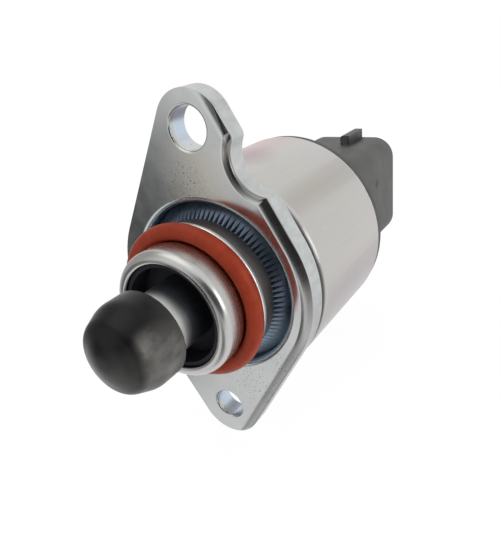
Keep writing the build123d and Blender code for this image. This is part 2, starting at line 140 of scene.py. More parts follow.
def tint_area(tree, direction, color, towards, full, edge, tint):
    """Multiply a colour by a tint within full degrees of a direction, fading out at edge degrees."""
    closeness = tree.nodes.new("ShaderNodeVectorMath")
    closeness.operation = "DOT_PRODUCT"
    closeness.inputs[1].default_value = Vector(towards).normalized()
    connect(tree, direction, closeness.inputs[0])
    fade = tree.nodes.new("ShaderNodeMapRange")
    fade.interpolation_type = "SMOOTHSTEP"
    fade.inputs["From Min"].default_value = math.cos(math.radians(edge))
    fade.inputs["From Max"].default_value = math.cos(math.radians(full))
    connect(tree, closeness.outputs["Value"], fade.inputs["Value"])
    mix = tree.nodes.new("ShaderNodeMixRGB")
    mix.blend_type = "MULTIPLY"
    mix.inputs["Color2"].default_value = (*tint, 1.0)
    connect(tree, fade.outputs["Result"], mix.inputs["Fac"])
    connect(tree, color, mix.inputs["Color1"])
    return mix.outputs["Color"]


print("room areas:", ", ".join(ROOM_AREAS))


# %% World
def background(tree, color):
    shader = tree.nodes.new("ShaderNodeBackground")
    shader.inputs["Color"].default_value = color
    return shader


def mixed(tree, factor, first, second):
    mix = tree.nodes.new("ShaderNodeMixShader")
    connect(tree, factor, mix.inputs["Fac"])
    connect(tree, first, mix.inputs[1])
    connect(tree, second, mix.inputs[2])
    return mix.outputs["Shader"]


def seen_in_gloss(tree, path):
    """1 for a ray that a glossy or clear surface sends out."""
    either = tree.nodes.new("ShaderNodeMath")
    either.operation = "MAXIMUM"
    connect(tree, path.outputs["Is Glossy Ray"], either.inputs[0])
    connect(tree, path.outputs["Is Transmission Ray"], either.inputs[1])
    return either.outputs["Value"]


def make_world():
    world = bpy.data.worlds.new("white_room")
    world.use_nodes = True
    world.cycles.sampling_method = "NONE"
    tree = world.node_tree
    tree.nodes.clear()
    direction = tree.nodes.new("ShaderNodeTexCoord").outputs["Generated"]
    path = tree.nodes.new("ShaderNodeLightPath")
    color = tree.nodes.new("ShaderNodeRGB").outputs["Color"]
    color.default_value = ROOM_WHITE
    for facts in ROOM_AREAS.values():
        color = tint_area(tree, direction, color, **facts)
    room = background(tree, ROOM_WHITE)
    connect(tree, color, room.inputs["Color"])
    soft = background(tree, SOFT_LIGHT)
    lit = mixed(tree, seen_in_gloss(tree, path), soft.outputs[0], room.outputs[0])
    seen = mixed(tree, path.outputs["Is Camera Ray"], lit, background(tree, ROOM_WHITE).outputs[0])
    output = tree.nodes.new("ShaderNodeOutputWorld")
    connect(tree, seen, output.inputs["Surface"])
    bpy.context.scene.world = world


make_world()
print("world:", bpy.context.scene.world.name)

# %% [markdown]
# ## Soft boxes and the floor
#
# Two large soft boxes model the forms: one at the right draws the bright streak along the nose, one
# overhead lights the plastic and the seal. Their power follows from how bright they should look and
# from their size. The floor is white paper. It keeps a pale shadow, and gloss looks through it to the
# room, so the metal isn't cut in two by a horizon.

# %% Soft boxes
SOFT_BOXES = {
    "right_soft_box": {"towards": (0.98, 0.02, 0.26), "away": 400, "side": 200, "bright": 2.4},
    "top_soft_box": {"towards": (-0.25, -0.30, 1.0), "away": 420, "side": 340, "bright": 0.55},
}


def make_soft_box(name, towards, away, side, bright):
    data = bpy.data.lights.new(name, "AREA")
    data.size = side * MM
    data.energy = bright * math.pi * data.size ** 2
    box = add_object(name, data)
    box.location = Vector(towards).normalized() * away * MM
    box.rotation_mode = "QUATERNION"
    box.rotation_quaternion = (-box.location).to_track_quat("-Z", "Y")
    return box


soft_boxes = [make_soft_box(name, **facts) for name, facts in SOFT_BOXES.items()]
print("soft boxes, W:", [round(box.data.energy, 3) for box in soft_boxes])

# %% Floor
FLOOR_SIDE = 4000
FLOOR_GAP = 0.5
PAPER = (0.92, 0.92, 0.92, 1.0)
PAPER_WHITENESS = 0.86
PAPER_GLOW = 1.08


def white_paper():
    """Nearly white to the camera, plain paper to the light, and clear to gloss."""
    paper = bpy.data.materials.new("white_paper")
    paper.use_nodes = True
    tree = paper.node_tree
    tree.nodes.clear()
    path = tree.nodes.new("ShaderNodeLightPath")
    matt = tree.nodes.new("ShaderNodeBsdfDiffuse")
    matt.inputs["Color"].default_value = PAPER
    glow = tree.nodes.new("ShaderNodeEmission")
    glow.inputs["Strength"].default_value = PAPER_GLOW
    clear = tree.nodes.new("ShaderNodeBsdfTransparent")
    whiten = tree.nodes.new("ShaderNodeMath")
    whiten.operation = "MULTIPLY"
    whiten.inputs[1].default_value = PAPER_WHITENESS
    connect(tree, path.outputs["Is Camera Ray"], whiten.inputs[0])
    seen = mixed(tree, whiten.outputs["Value"], matt.outputs[0], glow.outputs[0])
    whole = mixed(tree, seen_in_gloss(tree, path), seen, clear.outputs[0])
    output = tree.nodes.new("ShaderNodeOutputMaterial")
    connect(tree, whole, output.inputs["Surface"])
    return paper


def make_floor():
    mesh = bpy.data.meshes.new("floor")
    half = FLOOR_SIDE / 2 * MM
    level = cad_box[0].z - FLOOR_GAP * MM
    corners = [(-half, -half, level), (half, -half, level), (half, half, level), (-half, half, level)]
    mesh.from_pydata(corners, [], [(0, 1, 2, 3)])
    mesh.materials.append(white_paper())
    floor = add_object("floor", mesh)
    print("floor at, mm:", round(level / MM, 2))


make_floor()

# %% [markdown]
# ## Building a finish from noise
#
# Real plating, rubber and moulded plastic are never one flat colour. A photograph could be mapped on,
# but procedural noise has no seams and holds up close by. Every size here is in millimetres, because
# that is how a maker thinks of a mark or a grain.

# %% A finish, and noise for it
def shader_of(material):
    return material.node_tree.nodes["Principled BSDF"]


def new_finish(name, color, metallic, roughness, specular=0.5):
    """A material whose plain values sit on the shader's own sockets."""
    material = bpy.data.materials.new(name)
    material.use_nodes = True
    shader = shader_of(material)
    shader.inputs["Base Color"].default_value = (*color, 1.0)
    shader.inputs["Metallic"].default_value = metallic
    shader.inputs["Roughness"].default_value = roughness
    shader.inputs["Specular IOR Level"].default_value = specular
    return material


def place(material, stretch=(1, 1, 1)):
    """Object coordinates, in millimetres, stretched along the axes."""
    tree = material.node_tree
    coordinates = tree.nodes.new("ShaderNodeTexCoord")
    mapping = tree.nodes.new("ShaderNodeMapping")
    mapping.inputs["Scale"].default_value = [s / MM for s in stretch]
    connect(tree, coordinates.outputs["Object"], mapping.inputs["Vector"])
    return mapping.outputs["Vector"]


def noise(material, per_mm, detail=3.0, stretch=(1, 1, 1)):
    tree = material.node_tree
    texture = tree.nodes.new("ShaderNodeTexNoise")
    texture.inputs["Scale"].default_value = per_mm
    texture.inputs["Detail"].default_value = detail
    connect(tree, place(material, stretch), texture.inputs["Vector"])
    return texture.outputs["Fac"]


def ramp(material, factor, *stops):
    """Colours at positions along a factor. A stop is (position, colour)."""
    tree = material.node_tree
    made = tree.nodes.new("ShaderNodeValToRGB")
    elements = made.color_ramp.elements
    while len(elements) < len(stops):
        elements.new(0.5)
    for element, (position, color) in zip(elements, stops):
        element.position = position
        element.color = (*color, 1.0)
    connect(tree, factor, made.inputs["Fac"])
    return made.outputs["Color"]


# %% [markdown]
# ## Saying where on a piece
#
# Dirt and wear lie in one place, not all over. A mask could be painted by hand on an unwrapped mesh.
# Here each mask is a number from 0 to 1, worked out from a distance or a depth in millimetres, so it
# stays put however the mesh is made.

# %% Masks
def spread(material, factor, low, high, from_low=0.3, from_high=0.7, curve="LINEAR"):
    """Map a factor's range to low and high. The range that stands here is where most noise lies."""
    tree = material.node_tree
    made = tree.nodes.new("ShaderNodeMapRange")
    made.interpolation_type = curve
    for name, value in (("From Min", from_low), ("From Max", from_high), ("To Min", low), ("To Max", high)):
        made.inputs[name].default_value = value
    connect(tree, factor, made.inputs["Value"])
    return made.outputs["Result"]


def scaled(material, factor, most):
    """A factor from 0 to 1, scaled so that it ends at most."""
    return spread(material, factor, 0.0, most, 0.0, 1.0)


def joined(material, operation, *factors):
    """One factor changed, or two multiplied, added or compared."""
    tree = material.node_tree
    made = tree.nodes.new("ShaderNodeMath")
    made.operation = operation
    for socket, factor in zip(made.inputs, factors):
        connect(tree, factor, socket)
    return made.outputs["Value"]


def apart(material, centre, stretch=(1, 1, 1)):
    """Distance in millimetres from a point."""
    tree = material.node_tree
    made = tree.nodes.new("ShaderNodeVectorMath")
    made.operation = "DISTANCE"
    made.inputs[1].default_value = centre
    connect(tree, place(material, stretch), made.inputs[0])
    return made.outputs["Value"]


def near(material, centre, full, edge, stretch=(1, 1, 1)):
    """1 within full mm of a point, falling to 0 at edge mm."""
    return spread(material, apart(material, centre, stretch), 1.0, 0.0, full, edge)


def near_any(material, spots, stretch=(1, 1, 1)):
    """1 near any of several spots, each (centre, full, edge)."""
    factor = near(material, *spots[0], stretch)
    for spot in spots[1:]:
        factor = joined(material, "MAXIMUM", factor, near(material, *spot, stretch))
    return factor


def along(material, axis):
    """Object X, Y or Z in millimetres. Y counts from the flange's front face, Z from the pintle's axis."""
    tree = material.node_tree
    split = tree.nodes.new("ShaderNodeSeparateXYZ")
    connect(tree, place(material), split.inputs["Vector"])
    return split.outputs[axis]


# %% [markdown]
# ## Colour, gloss and grain
#
# A finish has three layers: a mottled colour that stains can cover, a gloss that is uneven, and a fine
# grain that catches light. Each could be wired by hand in the shader editor. As helpers they read like
# a recipe, and every piece can have its own.

# %% Layers of a finish
CLOUD_DETAIL = 4.0
GRAIN_DETAIL = 3.0


def linked(material, socket):
    """What feeds one of the shader's sockets so far."""
    return shader_of(material).inputs[socket].links[0].from_socket


def stained(material, color, stain, factor):
    """A colour that turns into a stain where the factor is 1."""
    tree = material.node_tree
    mix = tree.nodes.new("ShaderNodeMixRGB")
    mix.inputs["Color2"].default_value = (*stain, 1.0)
    connect(tree, factor, mix.inputs["Fac"])
    connect(tree, color, mix.inputs["Color1"])
    return mix.outputs["Color"]


def mixed_colors(material, first, second, factor):
    tree = material.node_tree
    mix = tree.nodes.new("ShaderNodeMixRGB")
    connect(tree, factor, mix.inputs["Fac"])
    connect(tree, first, mix.inputs["Color1"])
    connect(tree, second, mix.inputs["Color2"])
    return mix.outputs["Color"]


def paint(material, color):
    connect(material.node_tree, color, shader_of(material).inputs["Base Color"])


def roughen(material, value):
    connect(material.node_tree, value, shader_of(material).inputs["Roughness"])


def mottle(material, per_mm, *stops, stretch=(1, 1, 1)):
    paint(material, ramp(material, noise(material, per_mm, CLOUD_DETAIL, stretch), *stops))


def uneven_gloss(material, per_mm, low, high, stretch=(1, 1, 1)):
    roughen(material, spread(material, noise(material, per_mm, CLOUD_DETAIL, stretch), low, high))


def bumped(material, height, strength, depth_mm):
    tree = material.node_tree
    bump = tree.nodes.new("ShaderNodeBump")
    bump.inputs["Strength"].default_value = strength
    bump.inputs["Distance"].default_value = depth_mm * MM
    connect(tree, height, bump.inputs["Height"])
    connect(tree, bump.outputs["Normal"], shader_of(material).inputs["Normal"])


def grain(material, per_mm, strength, depth_mm=0.05, stretch=(1, 1, 1)):
    bumped(material, noise(material, per_mm, GRAIN_DETAIL, stretch), strength, depth_mm)


def wear(material, *names):
    """Put a finish on CAD solids, in place of what they came with."""
    for name in names:
        nodes[name].data.materials.clear()
        nodes[name].data.materials.append(material)
    print(material.name, "on", ", ".join(names))


# %% [markdown]
# ## Zinc plating on the can
#
# The can is drawn from steel and zinc-plated. It is smooth, with faint marks along its length, and shows
# pink and yellow where the clear passivation is thin. One even grey would be simpler, but plating
# always changes colour a little. So slow noise tints it, noise stretched along the axis draws the
# marks, and a pink film lies on top beside the flange. The corner behind the flange is painted dark,
# as painted shade in the crevice between can and flange.

# %% Zinc-plated can
CAN_ZINC = (0.525, 0.51, 0.495)
CAN_TINTS = [
    (0.30, (0.53, 0.495, 0.49)),
    (0.48, CAN_ZINC),
    (0.62, (0.53, 0.515, 0.48)),
    (0.75, (0.505, 0.50, 0.51)),
]
DRAWN_MARK = (0.40, 0.39, 0.38)
DRAWN_MARK_MOST = 0.10
PINK_FILM = (0.41, 0.36, 0.375)
PINK_SPOT = ((-1.5, 13.5, 17.4), 2.5, 7.5)
PALE_SPECK = (0.62, 0.62, 0.62)
SPECK_SIZE = (0.05, 0.16)
SPECK_SPOTS = [((16.8, 11.0, 5.0), *SPECK_SIZE), ((15.0, 19.9, 8.9), *SPECK_SIZE),
               ((15.6, 9.6, 7.9), *SPECK_SIZE)]
# Painted shade: the can is painted dark in the crevice behind the flange, where shade falls between the
# parts.
CREVICE_PAINTED_SHADE = (0.05, 0.048, 0.045)
CREVICE_SHADE_MOST = 0.9
CREVICE_SHADE_DEPTHS = (4.5, 4.95)


def zinc_can_finish():
    material = new_finish("can_zinc_plating", CAN_ZINC, metallic=1.0, roughness=0.24)
    plating = ramp(material, noise(material, 0.05, 3.0, (1, 2, 1)), *CAN_TINTS)
    drawn = spread(material, noise(material, 1.1, 2.0, (1, 0.06, 1)), 0.0, DRAWN_MARK_MOST)
    color = stained(material, plating, DRAWN_MARK, drawn)
    color = stained(material, color, PINK_FILM, near(material, *PINK_SPOT))
    color = stained(material, color, PALE_SPECK, near_any(material, SPECK_SPOTS))
    # painted shade in the crevice behind the flange
    corner = spread(material, along(material, "Y"), CREVICE_SHADE_MOST, 0.0, *CREVICE_SHADE_DEPTHS)
    paint(material, stained(material, color, CREVICE_PAINTED_SHADE, corner))
    uneven_gloss(material, 0.3, 0.20, 0.27, (1, 0.2, 1))
    return material


wear(zinc_can_finish(), "motor_can")

# %% [markdown]
# ## The flange's rolled edge
#
# The flange is stamped from plate. On its right side and round the notch the die rolled the edge over,
# and the solid has that roll. On the real plate its shade begins a little further in than the solid's
# small radius. A larger radius would thin the edge, so a bump carries the shade inwards. Its height
# falls towards the outline, which is a round between two straight runs: the angle about the axis,
# held between the two ends of the round, says which way to measure.

# %% Rolled edge
SEEN_ALONG_AXIS = (1, 0, 1)
PLATE_R = 17.4
ROUND_FROM = math.radians(-30.9)
ROUND_TO = math.radians(28.8)
ROLL_WIDTH = 1.8
ROLL_DROP = 0.42
EAR_FADE = (20.0, 27.5)
NOTCH_CENTRE = (11.85, 0.0, 20.6)
NOTCH_EDGE = 5.65
NOTCH_ROLL_WIDTH = 1.1
NOTCH_ROLL_DROP = 0.35


def rolled_edge(material):
    """Height in mm of the front face near its right-hand outline and round the notch."""
    notch = spread(material, apart(material, NOTCH_CENTRE, SEEN_ALONG_AXIS), -NOTCH_ROLL_DROP, 0.0,
                   NOTCH_EDGE, NOTCH_EDGE + NOTCH_ROLL_WIDTH, "SMOOTHSTEP")
    across = along(material, "X")
    up = along(material, "Z")
    angle = joined(material, "ARCTAN2", up, across)
    turn = spread(material, angle, ROUND_FROM, ROUND_TO, ROUND_FROM, ROUND_TO)
    reach = joined(material, "ADD",
                   joined(material, "MULTIPLY", across, joined(material, "COSINE", turn)),
                   joined(material, "MULTIPLY", up, joined(material, "SINE", turn)))
    reach = joined(material, "ADD", reach, spread(material, up, 0.0, -ROLL_WIDTH, *EAR_FADE))
    edge = spread(material, reach, 0.0, -ROLL_DROP, PLATE_R - ROLL_WIDTH, PLATE_R, "SMOOTHSTEP")
    return joined(material, "MINIMUM", edge, notch)


print("rolled edge, mm wide:", ROLL_WIDTH, "and at the notch:", NOTCH_ROLL_WIDTH)

# %% [markdown]
# ## Zinc plating and dirt on the flange
#
# The flange's plating is greener than the can's, and its sheared walls are rougher than its face. Specks
# of dirt lie beside the recess, above the ring and below it at the right, with a yellow film round the
# upper ones. The rolled edge is painted dark along its low part, a painted reflection of the dark room,
# and the recess wall is painted bluish, a painted reflection of the blue ring. Specks could be modelled
# one by one. Here noise is cut off so high that only its peaks show, and only near the places that are
# dirty.

# %% Dirt and grime
DIRT = (0.13, 0.115, 0.09)
DIRT_SPOTS = [
    ((-2.0, 0.0, 16.0), 1.5, 5.5),
    ((6.0, 0.0, -17.0), 1.5, 6.5),
    ((11.5, 0.0, -11.5), 0.5, 4.0),
]
PIT_MOST = 0.85
PIT_PEAKS = (0.585, 0.655)
STRAY_MOST = 0.5
STRAY_PEAKS = (0.735, 0.76)
# Painted reflection: the rolled edge is painted dark where it reflects the dark part of the room.
ROLL_PAINTED_REFLECTION = (0.13, 0.114, 0.100)
ROLL_REFLECTION_MOST = 0.75
ROLL_REFLECTION_HEIGHTS = (-0.33, -0.10)
ROLL_REFLECTION_FADE = (-7.5, 1.0)
ROLL_ENDS = (0.50, 0.64)


def flange_dirt(material):
    fine = spread(material, noise(material, 3.0, CLOUD_DETAIL), 0.0, PIT_MOST, *PIT_PEAKS)
    pits = joined(material, "MULTIPLY", fine, near_any(material, DIRT_SPOTS))
    stray = spread(material, noise(material, 1.9, 1.0), 0.0, STRAY_MOST, *STRAY_PEAKS)
    return joined(material, "MAXIMUM", pits, stray)


def painted_roll_reflection(material, roll, depth):
    """Painted dark reflection low on the roll. It fades out down the plate and ends where the wall begins.
    """
    roll_reflection = joined(material, "MULTIPLY", spread(material, roll, ROLL_REFLECTION_MOST, 0.0, *ROLL_REFLECTION_HEIGHTS),
                   spread(material, along(material, "Z"), 0.0, 1.0, *ROLL_REFLECTION_FADE))
    return joined(material, "MULTIPLY", roll_reflection, spread(material, depth, 1.0, 0.0, *ROLL_ENDS))


print("dirty places on the flange:", len(DIRT_SPOTS))

# %% Zinc-plated flange
FLANGE_ZINC = (0.51, 0.525, 0.52)
FLANGE_CLOUDS = [(0.35, (0.49, 0.505, 0.50)), (0.65, (0.53, 0.545, 0.545))]
TORN_WALL = [(0.40, (0.49, 0.51, 0.505)), (0.66, (0.56, 0.58, 0.58))]
WALL_DEPTHS = (0.8, 1.1)
RECESS = ((0.0, 0.0, 0.0), 14.2, 14.6)
# Painted reflection: the recess wall and its rounding are painted bluish, as the blue ring reflected in
# them.
RECESS_PAINTED_REFLECTION = (0.50, 0.60, 0.66)
BOLT_HOLES = [((0.0, 0.0, 24.6), 3.3, 3.7), ((0.0, 0.0, -22.8), 2.7, 3.1)]
HOLE_BLUE = (0.54, 0.62, 0.71)
YELLOW_FILM = (0.66, 0.635, 0.58)
YELLOW_SPOT = ((0.3, 0.0, 17.6), 2.0, 7.5)
WALL_ROUGHER = 0.14
ROLL_ROUGHER = 0.09
ROLL_ROUGHER_FROM = -0.25
SKIN_DEPTH = 0.002


def zinc_flange_finish():
    material = new_finish("flange_zinc_plating", FLANGE_ZINC, metallic=1.0, roughness=0.17)
    depth = along(material, "Y")
    wall = spread(material, depth, 0.0, 1.0, *WALL_DEPTHS)
    recess = near(material, *RECESS, SEEN_ALONG_AXIS)
    holes = joined(material, "MULTIPLY", wall, near_any(material, BOLT_HOLES, SEEN_ALONG_AXIS))
    sheared = joined(material, "MULTIPLY", wall, spread(material, recess, 1.0, 0.0, 0.0, 1.0))
    face = ramp(material, noise(material, 0.12, CLOUD_DETAIL), *FLANGE_CLOUDS)
    torn = ramp(material, noise(material, 0.9, CLOUD_DETAIL, (1, 0.5, 1)), *TORN_WALL)
    color = mixed_colors(material, face, torn, sheared)
    color = stained(material, color, HOLE_BLUE, holes)
    # the recess wall is painted bluish, a painted reflection of the blue ring
    color = stained(material, color, RECESS_PAINTED_REFLECTION, recess)
    color = stained(material, color, YELLOW_FILM, near(material, *YELLOW_SPOT))
    color = stained(material, color, DIRT, flange_dirt(material))
    roll = rolled_edge(material)
    # the rolled edge is painted dark here, a painted reflection
    paint(material, stained(material, color, ROLL_PAINTED_REFLECTION, painted_roll_reflection(material, roll, depth)))
    polish = spread(material, noise(material, 0.35, CLOUD_DETAIL), 0.13, 0.20)
    gloss = joined(material, "ADD", polish, scaled(material, sheared, WALL_ROUGHER))
    rubbed_and_dark_reflection = spread(material, roll, ROLL_ROUGHER, 0.0, ROLL_ROUGHER_FROM, 0.0)
    roughen(material, joined(material, "ADD", gloss, rubbed_and_dark_reflection))
    skin = scaled(material, noise(material, 1.2, GRAIN_DETAIL), SKIN_DEPTH)
    bumped(material, joined(material, "ADD", roll, skin), strength=1.0, depth_mm=1.0)
    return material


wear(zinc_flange_finish(), "flange_plate")

# %% [markdown]
# ## Turned and polished steel
#
# The nose, the stem and the washer are turned on a lathe, so their marks run round the axis. Noise that
# is squeezed along the axis and stretched round it gives those marks without one modelled groove. The
# nose's neck behind the seal is left as it was cut, and its bore is painted near black as painted shade
# inside the hole. The stem is clean where it works in the open, and painted darker as shade where it
# runs in the guide, inside the nose.

# %% Turned steel
TURNED_SHADE = 0.92
CLOUDS_ROUND_AXIS = (0.4, 3, 0.4)
GLOSS_ROUND_AXIS = (0.3, 4, 0.3)
MARKS_ROUND_AXIS = (0.15, 8, 0.15)


def turned_finish(name, color, low, high, marks):
    material = new_finish(name, color, metallic=1.0, roughness=(low + high) / 2)
    darker = [TURNED_SHADE * c for c in color]
    mottle(material, 0.3, (0.35, darker), (0.65, color), stretch=CLOUDS_ROUND_AXIS)
    uneven_gloss(material, 0.6, low, high, stretch=GLOSS_ROUND_AXIS)
    grain(material, 1.5, marks, stretch=MARKS_ROUND_AXIS)
    return material


wear(turned_finish("bright_washer", (0.90, 0.90, 0.89), low=0.30, high=0.36, marks=0.01), "backing_washer")

# %% Nose and stem
NECK_DEPTHS = (-3.2, -3.0)
NECK_METAL = (0.46, 0.41, 0.395)
NECK_ROUGHER = 0.10
# Painted shade: the nose's bore is painted near black, as shade inside the hole.
NOSE_BORE = ((0.0, 0.0, 0.0), 8.34, 8.5)
BORE_PAINTED_SHADE = (0.04, 0.04, 0.045)
# Painted shade: the stem is painted darker where it runs inside the nose, in the nose's shade.
STEM_PAINTED_SHADE = (0.19, 0.20, 0.24)
STEM_SHADE_MOST = 0.95
STEM_SHADE_DEPTHS = (-13.2, -11.5)


def nose_finish():
    material = turned_finish("turned_nose", (0.55, 0.548, 0.535), low=0.24, high=0.31, marks=0.012)
    neck = spread(material, along(material, "Y"), 0.0, 1.0, *NECK_DEPTHS)
    rougher = scaled(material, neck, NECK_ROUGHER)
    roughen(material, joined(material, "ADD", linked(material, "Roughness"), rougher))
    metal = stained(material, linked(material, "Base Color"), NECK_METAL, neck)
    # painted shade inside the nose's bore
    bore = near(material, *NOSE_BORE, SEEN_ALONG_AXIS)
    paint(material, stained(material, metal, BORE_PAINTED_SHADE, bore))
    return material


def polished_stem_finish():
    material = turned_finish("polished_stem", (0.94, 0.93, 0.90), low=0.36, high=0.42, marks=0.01)
    # painted shade on the stem inside the nose
    stem_shade = spread(material, along(material, "Y"), 0.0, STEM_SHADE_MOST, *STEM_SHADE_DEPTHS)
    paint(material, stained(material, linked(material, "Base Color"), STEM_PAINTED_SHADE, stem_shade))
    return material


wear(nose_finish(), "nose_housing")
stem_finish = polished_stem_finish()
print(stem_finish.name, "is kept for the threaded stem")

# %% [markdown]
# ## The serrated ring
#
# At the bottom of the recess is a ring with fine teeth, plated a deep blue. The teeth are in the solid,
# so the finish needs no pattern of its own. It is only partly a metal, because the plating is thick and
# dull, and it is paler and rougher at the lower right, where light falls into the recess.

# %% Blue-plated ring
RING_BLUE = (0.09, 0.12, 0.165)
RING_CLOUDS = [(0.35, (0.07, 0.09, 0.12)), (0.60, (0.11, 0.14, 0.19)), (0.72, (0.15, 0.17, 0.19))]
RING_LIT_SIDE = ((9.0, 1.0, -10.5), 3.0, 9.0)
RING_LIT_BLUE = (0.34, 0.43, 0.53)
RING_LIT_ROUGHER = 0.25


def serrated_ring_finish():
    material = new_finish("blue_plated_ring", RING_BLUE, metallic=0.72, roughness=0.35)
    mottle(material, 0.35, *RING_CLOUDS)
    lit_side = near(material, *RING_LIT_SIDE)
    paint(material, stained(material, linked(material, "Base Color"), RING_LIT_BLUE, lit_side))
    polish = spread(material, noise(material, 0.8, CLOUD_DETAIL), 0.24, 0.36)
    roughen(material, joined(material, "ADD", polish, scaled(material, lit_side, RING_LIT_ROUGHER)))
    return material


wear(serrated_ring_finish(), "serrated_ring")

# %% [markdown]
# ## Rubber seals
#
# The O-ring that shows is brick-red rubber with a soft sheen, and the one hidden under the end cap is
# black. Rubber could be a flat colour with low gloss. A little mottling and a grain finer than the eye
# can count make the sheen break up as it does on a real seal.

# %% Seals
def rubber_finish(name, dark, light, roughness):
    material = new_finish(name, light, metallic=0.0, roughness=roughness, specular=0.22)
    mottle(material, 0.5, (0.35, dark), (0.65, light))
    grain(material, 6.0, 0.06)
    return material


wear(rubber_finish("red_seal", (0.31, 0.034, 0.010), (0.39, 0.044, 0.013), 0.42), "o_ring")
wear(rubber_finish("black_seal", (0.012, 0.012, 0.012), (0.022, 0.022, 0.022), 0.5), "cap_seal")

# %% [markdown]
# ## Moulded plastic
#
# Tip and connector are moulded, with a fine skin that spreads the light. Their colour is dark, so
# nearly all that the eye sees is that sheen. The tip is painted near black towards its end, a painted
# dark reflection, and painted lighter grey on one side, partly as scuffs and partly as a painted
# highlight. The connector is painted darker towards the can, as painted shadow cast by the can, and on
# the flank of its lug, as painted shade, and has one small nick on its right side. Each of these is a
# stain round a point or along the axis, which is enough at this size.

# %% Plastic for the end cap
CAP_DARK = (0.078, 0.077, 0.073)
CAP_LIGHT = (0.100, 0.099, 0.094)
# Painted shadow: the connector is painted darker towards the can, as the can's shadow on it.
BY_CAN_PAINTED_SHADOW = (0.045, 0.045, 0.046)
BY_CAN_MOST = 0.6
BY_CAN_DEPTHS = (32.0, 46.0)
SHORT_ALONG_AXIS = (1, 0.2, 1)
LUG_FLANK = ((3.4, 10.6, 11.4), 0.7, 1.4)
# Painted shade: the lug's right flank and its foot are painted dark.
LUG_FLANK_PAINTED_SHADE = (0.030, 0.030, 0.034)
NICK = ((10.1, 47.1, 3.4), 0.4, 1.15)
NICK_DARK = (0.015, 0.015, 0.015)


def plastic_finish(name, dark, light, low, high, skin, specular=0.5):
    material = new_finish(name, light, metallic=0.0, roughness=(low + high) / 2, specular=specular)
    mottle(material, 0.25, (0.35, dark), (0.65, light))
    uneven_gloss(material, 0.5, low, high)
    grain(material, 4.0, skin)
    return material


def cap_finish():
    """Painted shade lies on the lug's flank, marked in coordinates shortened along the axis, as it is long
    and narrow.
    """
    material = plastic_finish("moulded_cap", CAP_DARK, CAP_LIGHT, low=0.48, high=0.60, skin=0.06)
    # painted shadow towards the can
    by_can = spread(material, along(material, "Y"), BY_CAN_MOST, 0.0, *BY_CAN_DEPTHS)
    skin = stained(material, linked(material, "Base Color"), BY_CAN_PAINTED_SHADOW, by_can)
    # painted shade on the lug's flank
    flank = near(material, *LUG_FLANK, SHORT_ALONG_AXIS)
    skin = stained(material, skin, LUG_FLANK_PAINTED_SHADE, flank)
    paint(material, stained(material, skin, NICK_DARK, near(material, *NICK)))
    return material


wear(cap_finish(), "end_cap")

# %% Plastic for the tip
TIP_DARK = (0.038, 0.038, 0.036)
TIP_LIGHT = (0.052, 0.051, 0.048)
# Painted reflection: the tip is painted near black round a point towards its end, as a dark reflection.
TIP_DARK_REFLECTION_SPOT = ((0.5, -20.0, 5.0), 4.0, 7.4)
TIP_PAINTED_DARK_REFLECTION = (0.003, 0.003, 0.004)
SCUFFED_DEPTHS = (-22.2, -21.2)
# Scuffs and painted highlight: one side of the tip is painted lighter grey, partly as scuffs, partly as a
# highlight.
SCUFFED_AND_LIT_SIDE = ((6.2, -19.3, 0.4), 2.6, 5.0)
SCUFF_AND_HIGHLIGHT_GREY = (0.19, 0.18, 0.166)
SCUFF_STRENGTHS = (0.30, 1.0)
SCUFF_PEAKS = (0.42, 0.60)


def tip_finish():
    material = plastic_finish("moulded_tip", TIP_DARK, TIP_LIGHT, low=0.28, high=0.35, skin=0.02,
                              specular=0.21)
    # painted dark reflection near the tip's end
    rubbed_and_dark_reflection = near(material, *TIP_DARK_REFLECTION_SPOT)
    skin = stained(material, linked(material, "Base Color"), TIP_PAINTED_DARK_REFLECTION, rubbed_and_dark_reflection)
    band = spread(material, along(material, "Y"), 0.0, 1.0, *SCUFFED_DEPTHS)
    clouds = noise(material, 0.30, CLOUD_DETAIL, (1, 0.6, 1))
    scuffs = spread(material, clouds, *SCUFF_STRENGTHS, *SCUFF_PEAKS)
    # scuffs, and a painted highlight on the tip's side
    scuffed_and_lit = joined(material, "MULTIPLY", band, scuffs)
    scuffed_and_lit = joined(material, "MULTIPLY", scuffed_and_lit, near(material, *SCUFFED_AND_LIT_SIDE))
    paint(material, stained(material, skin, SCUFF_AND_HIGHLIGHT_GREY, scuffed_and_lit))
    return material


wear(tip_finish(), "pintle_tip")

# %% Other plastics
wear(plastic_finish("moulded_guide", (0.016, 0.017, 0.022), (0.022, 0.023, 0.030), 0.60, 0.70, 0.03, 0.3),
     "guide_bush")
wear(plastic_finish("moulded_hub", (0.70, 0.68, 0.62), (0.80, 0.78, 0.72), 0.45, 0.55, 0.05), "rotor_hub")
wear(plastic_finish("moulded_bobbin", (0.58, 0.55, 0.47), (0.68, 0.65, 0.57), 0.45, 0.55, 0.05),
     "front_bobbin", "rear_bobbin")
wear(plastic_finish("moulded_cage", (0.36, 0.27, 0.14), (0.46, 0.35, 0.19), 0.40, 0.50, 0.05), "ball_cage")

# %% [markdown]
# ## Inside the motor
#
# Nobody sees these pieces until the can is opened, but they are real and get real finishes: ground
# bearing steel, plain pole plates, grey ferrite, sintered bronze and tinned pins. One helper makes all
# the metals, because they differ only in colour, polish and grain.

# %% Finishes inside the can
def metal_finish(name, dark, light, low, high, marks):
    material = new_finish(name, light, metallic=1.0, roughness=(low + high) / 2)
    mottle(material, 0.3, (0.35, dark), (0.65, light))
    uneven_gloss(material, 0.7, low, high)
    grain(material, 3.0, marks)
    return material


